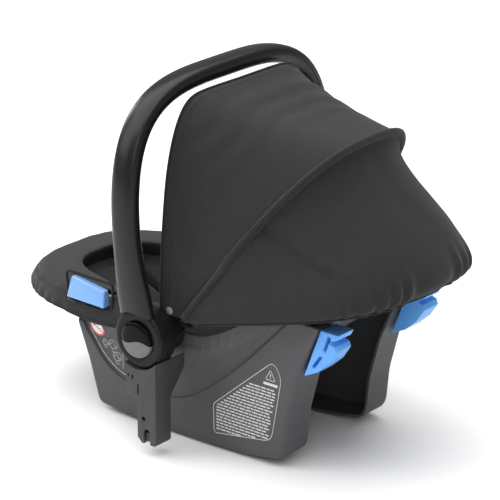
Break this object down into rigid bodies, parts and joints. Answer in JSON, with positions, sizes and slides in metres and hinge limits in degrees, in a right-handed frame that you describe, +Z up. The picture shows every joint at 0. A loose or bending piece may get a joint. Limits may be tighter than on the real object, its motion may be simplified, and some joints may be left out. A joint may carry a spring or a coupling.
{
  "type": "infant car seat",
  "caption": "Rear-facing infant carrier seat with rocker skids, a tilting carry handle, a folding fabric canopy, a padded harness seat and clip-on stroller adapters.",
  "frame": {"origin": "on the floor under the centre of the bounding box", "axes": "+Z up, -Y towards the occupant's feet, +Y towards the head end and canopy, +X towards the occupant's left"},
  "size_m": [0.4786, 0.7154, 0.5593],
  "materials": {
    "shell_plastic": "charcoal moulded plastic, finely textured satin",
    "handle_plastic": "black moulded plastic, semi-gloss satin",
    "hub_plastic": "dark grey moulded plastic, satin",
    "gloss_black": "polished black plastic",
    "adapter_plastic": "dark grey moulded plastic, matte",
    "blue_plastic": "bright blue moulded plastic, satin",
    "red_plastic": "red moulded plastic, satin gloss",
    "steel": "zinc plated steel",
    "foam": "expanded polystyrene bead foam",
    "canopy_fabric": "black plain-woven polyester",
    "cover_fabric": "charcoal plain-woven padded polyester",
    "webbing": "black woven polyester webbing",
    "label": "printed film label with plain marks"
  },
  "bodies": {
    "carrier": {"seat_shell": "shell_plastic", "skid_left": "shell_plastic", "skid_right": "shell_plastic", "care_label_left": "label", "care_label_right": "label", "foam_liner": "foam", "seat_cover": "cover_fabric", "seat_cushion": "cover_fabric", "side_cushion_left": "cover_fabric", "side_cushion_right": "cover_fabric", "belt_guide_left": "blue_plastic", "belt_guide_right": "blue_plastic", "belt_hook_left": "blue_plastic", "belt_hook_right": "blue_plastic", "hub_plate_left": "hub_plastic", "hub_plate_right": "hub_plastic", "pivot_pin_left": "steel", "pivot_pin_right": "steel", "canopy_bracket_left": "hub_plastic", "canopy_bracket_right": "hub_plastic", "canopy_rear_panel": "canopy_fabric", "shoulder_strap_left": "webbing", "shoulder_strap_right": "webbing", "shoulder_pad_left": "cover_fabric", "shoulder_pad_right": "cover_fabric", "crotch_strap": "webbing", "buckle_housing": "handle_plastic", "adjuster_housing": "handle_plastic"},
    "handle": {"handle_outer_shell": "handle_plastic", "handle_inner_shell": "handle_plastic", "handle_hub_left": "hub_plastic", "handle_hub_right": "hub_plastic", "button_spring_left": "steel", "button_spring_right": "steel"},
    "canopy_mid": {"canopy_mid_bow": "handle_plastic", "canopy_front_panel": "canopy_fabric"},
    "canopy_front": {"canopy_front_bow": "handle_plastic"},
    "buckle_button": {"buckle_button": "red_plastic"},
    "adjuster_button": {"adjuster_button": "hub_plastic"},
    "release_button_left": {"release_button_left": "gloss_black", "lock_gear_left": "steel"},
    "adapter_left": {"adapter_left": "adapter_plastic"},
    "adapter_latch_left": {"adapter_latch_left": "adapter_plastic"},
    "buckle_tongue_left": {"buckle_tongue_left": "steel"},
    "release_button_right": {"release_button_right": "gloss_black", "lock_gear_right": "steel"},
    "adapter_right": {"adapter_right": "adapter_plastic"},
    "adapter_latch_right": {"adapter_latch_right": "adapter_plastic"},
    "buckle_tongue_right": {"buckle_tongue_right": "steel"}
  },
  "joints": [
    {"name": "handle_tilt", "type": "hinge", "parent": "carrier", "child": "handle", "pos_m": [0, -0.0388, 0.181], "axis": [1, 0, 0], "range_deg": [-12, 110]},
    {"name": "canopy_mid_tilt", "type": "hinge", "parent": "carrier", "child": "canopy_mid", "pos_m": [0, 0.0062, 0.205], "axis": [-1, 0, 0], "range_deg": [0, 26], "deforming": ["canopy_rear_panel"]},
    {"name": "canopy_front_tilt", "type": "hinge", "parent": "canopy_mid", "child": "canopy_front", "pos_m": [0, 0.0062, 0.205], "axis": [-1, 0, 0], "range_deg": [0, 34], "deforming": ["canopy_front_panel"]},
    {"name": "buckle_button_press", "type": "slide", "parent": "carrier", "child": "buckle_button", "axis": [0, 0.585, -0.811], "range_m": [0, 0.003], "stiffness_N_per_m": 900, "springref_m": -0.003},
    {"name": "adjuster_button_press", "type": "slide", "parent": "carrier", "child": "adjuster_button", "axis": [0, 0, -1], "range_m": [0, 0.003], "stiffness_N_per_m": 900, "springref_m": -0.003},
    {"name": "release_button_left_press", "type": "slide", "parent": "handle", "child": "release_button_left", "axis": [-1, 0, 0], "range_m": [0, 0.005], "stiffness_N_per_m": 1200, "springref_m": -0.004, "deforming": ["button_spring_left"]},
    {"name": "adapter_left_slide", "type": "slide", "parent": "carrier", "child": "adapter_left", "axis": [0, 0, -1], "range_m": [0, 0.015]},
    {"name": "adapter_latch_left_press", "type": "slide", "parent": "adapter_left", "child": "adapter_latch_left", "axis": [-1, 0, 0], "range_m": [0, 0.003], "stiffness_N_per_m": 800, "springref_m": -0.002},
    {"name": "buckle_tongue_left_slide", "type": "slide", "parent": "carrier", "child": "buckle_tongue_left", "axis": [0, 0.811, 0.585], "range_m": [0, 0.012]},
    {"name": "release_button_right_press", "type": "slide", "parent": "handle", "child": "release_button_right", "axis": [1, 0, 0], "range_m": [0, 0.005], "stiffness_N_per_m": 1200, "springref_m": -0.004, "deforming": ["button_spring_right"]},
    {"name": "adapter_right_slide", "type": "slide", "parent": "carrier", "child": "adapter_right", "axis": [0, 0, -1], "range_m": [0, 0.015]},
    {"name": "adapter_latch_right_press", "type": "slide", "parent": "adapter_right", "child": "adapter_latch_right", "axis": [1, 0, 0], "range_m": [0, 0.003], "stiffness_N_per_m": 800, "springref_m": -0.002},
    {"name": "buckle_tongue_right_slide", "type": "slide", "parent": "carrier", "child": "buckle_tongue_right", "axis": [0, 0.811, 0.585], "range_m": [0, 0.012]}
  ]
}
